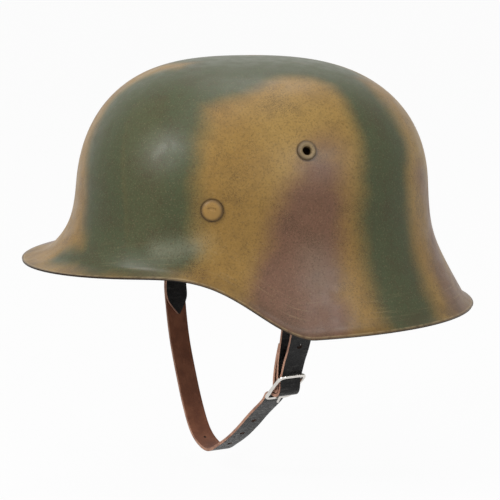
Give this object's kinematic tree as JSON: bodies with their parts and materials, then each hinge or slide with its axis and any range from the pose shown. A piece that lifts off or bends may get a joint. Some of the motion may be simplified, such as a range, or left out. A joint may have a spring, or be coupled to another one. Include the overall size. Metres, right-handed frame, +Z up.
{
  "type": "steel combat helmet",
  "caption": "Pressed steel helmet with flared visor, ear skirt and neck guard, vent bushings, sprung leather liner and a buckled leather chin strap on wire bails.",
  "frame": {"origin": "centre of the head opening, at mid height of the sweat band, where the head carries the helmet", "axes": "-X out of the visor, -Y toward the wearer's left, +Z up through the crown"},
  "size_m": [0.3021, 0.2304, 0.2726],
  "materials": {
    "camo_steel": "matt sprayed three-colour paint",
    "ochre_metal": "matt sprayed paint",
    "liner_metal": "dull zinc-grey plating",
    "felt": "pressed wool felt",
    "liner_leather": "undyed tan leather",
    "cord": "round braided cord",
    "bail_steel": "plain steel wire",
    "strap_leather": "black grained face, brown flesh side, tan cut edges",
    "bright_metal": "bright nickel"
  },
  "bodies": {
    "helmet": {"shell": "camo_steel", "vent_bushing_left": "ochre_metal", "vent_bushing_right": "ochre_metal", "liner_rivets": "ochre_metal", "rivet_washers": "liner_metal", "outer_band": "liner_metal", "inner_band": "liner_metal", "leaf_springs": "liner_metal", "spring_rivets": "liner_metal", "felt_strip": "felt", "leather_liner": "liner_leather", "liner_pins": "liner_metal", "draw_cord": "cord", "bail_bracket_left": "liner_metal", "bail_bracket_right": "liner_metal", "bracket_rivets": "liner_metal"},
    "bail_left": {"bail_left": "bail_steel"},
    "bail_right": {"bail_right": "bail_steel"},
    "strap": {"strap_long": "strap_leather", "strap_short": "strap_leather", "strap_rivets": "bright_metal"},
    "buckle": {"buckle_frame": "bright_metal"},
    "prong": {"buckle_prong": "bright_metal"}
  },
  "joints": [
    {"name": "bail_left_swing", "type": "hinge", "parent": "helmet", "child": "bail_left", "pos_m": [0.022, -0.09283, -0.0108], "axis": [0.9934, 0.1149, 0], "range_deg": [-8, 8]},
    {"name": "bail_right_swing", "type": "hinge", "parent": "helmet", "child": "bail_right", "pos_m": [-0.022, 0.09247, -0.0108], "axis": [0.9934, 0.1149, 0], "range_deg": [-8, 8]},
    {"name": "strap_hang", "type": "hinge", "parent": "bail_left", "child": "strap", "pos_m": [0.022, -0.09283, -0.0258], "axis": [0.9934, 0.1149, 0], "range_deg": [-8, 8]},
    {"name": "buckle_tilt", "type": "hinge", "parent": "strap", "child": "buckle", "pos_m": [0.02023, -0.06075, -0.118], "axis": [0.9272, 0.3746, 0], "range_deg": [-2, 2]},
    {"name": "prong_lift", "type": "hinge", "parent": "buckle", "child": "prong", "pos_m": [0.02023, -0.06075, -0.118], "axis": [-0.9272, -0.3746, 0], "range_deg": [0, 10]}
  ],
  "couplings": [
    {"joint": "strap_hang", "follows": "bail_left_swing", "ratio": -1},
    {"joint": "bail_right_swing", "follows": "bail_left_swing", "ratio": 1}
  ]
}
